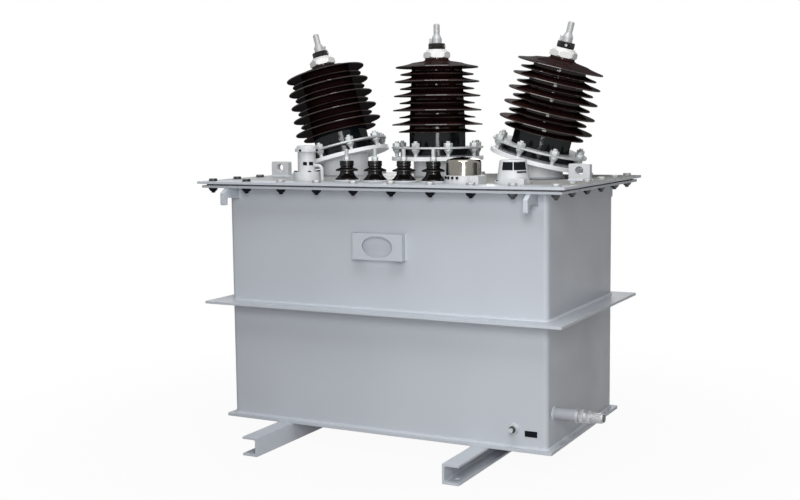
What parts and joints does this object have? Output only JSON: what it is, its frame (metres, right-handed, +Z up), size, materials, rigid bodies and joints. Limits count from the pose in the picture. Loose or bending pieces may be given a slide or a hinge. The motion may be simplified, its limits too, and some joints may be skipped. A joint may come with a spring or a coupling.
{
  "type": "oil-filled power transformer",
  "caption": "Oil-filled power transformer: grey welded tank on skid channels with a bolted cover, ribbed porcelain high-voltage bushings on risers and small low-voltage bushings.",
  "frame": {"origin": "on the floor, at the middle of the four anchor holes in the skid channels", "axes": "+X along the front to the right, +Y to the back, +Z up"},
  "size_m": [1.22, 0.958, 1.2342],
  "materials": {
    "tank_paint": "semi-gloss grey enamel",
    "fitting_paint": "pale grey enamel",
    "gasket_rubber": "matt black rubber",
    "hv_glaze": "glossy dark brown glaze",
    "lv_glaze": "glossy brown-black glaze",
    "zinc_plate": "zinc plated",
    "cap_metal": "cast, fine blasted",
    "terminal_metal": "tinned",
    "dark_steel": "blackened",
    "chrome": "polished",
    "valve_metal": "nickel plated"
  },
  "bodies": {
    "root": {"skid_channel_left": "tank_paint", "skid_channel_right": "tank_paint", "base_plate": "tank_paint", "tank_wall_lower": "tank_paint", "girth_flange": "tank_paint", "tank_wall_upper": "tank_paint", "tank_flange": "tank_paint", "cover_plate": "tank_paint", "lashing_hooks": "tank_paint", "nameplate_bracket": "tank_paint", "drain_stub": "tank_paint", "filler_neck": "fitting_paint", "filler_lid": "fitting_paint", "vent_pipe": "fitting_paint", "tap_changer": "fitting_paint", "relief_base": "fitting_paint", "lifting_lugs": "fitting_paint", "riser_left": "fitting_paint", "riser_centre": "fitting_paint", "riser_right": "fitting_paint", "cover_gasket": "gasket_rubber", "hv_gaskets": "gasket_rubber", "hv_porcelain_left": "hv_glaze", "hv_porcelain_centre": "hv_glaze", "hv_porcelain_right": "hv_glaze", "lv_porcelain_1": "lv_glaze", "lv_porcelain_2": "lv_glaze", "lv_porcelain_3": "lv_glaze", "lv_porcelain_4": "lv_glaze", "clamp_ring_left": "zinc_plate", "clamp_ring_centre": "zinc_plate", "clamp_ring_right": "zinc_plate", "clamp_studs": "zinc_plate", "lv_studs": "zinc_plate", "earth_boss": "zinc_plate", "hv_cap_left": "cap_metal", "hv_cap_centre": "cap_metal", "hv_cap_right": "cap_metal", "hv_terminal_left": "terminal_metal", "hv_terminal_centre": "terminal_metal", "hv_terminal_right": "terminal_metal", "hv_locknuts": "dark_steel", "relief_dome": "chrome", "drain_valve_body": "valve_metal", "drain_valve_cap": "valve_metal"}
  },
  "joints": []
}
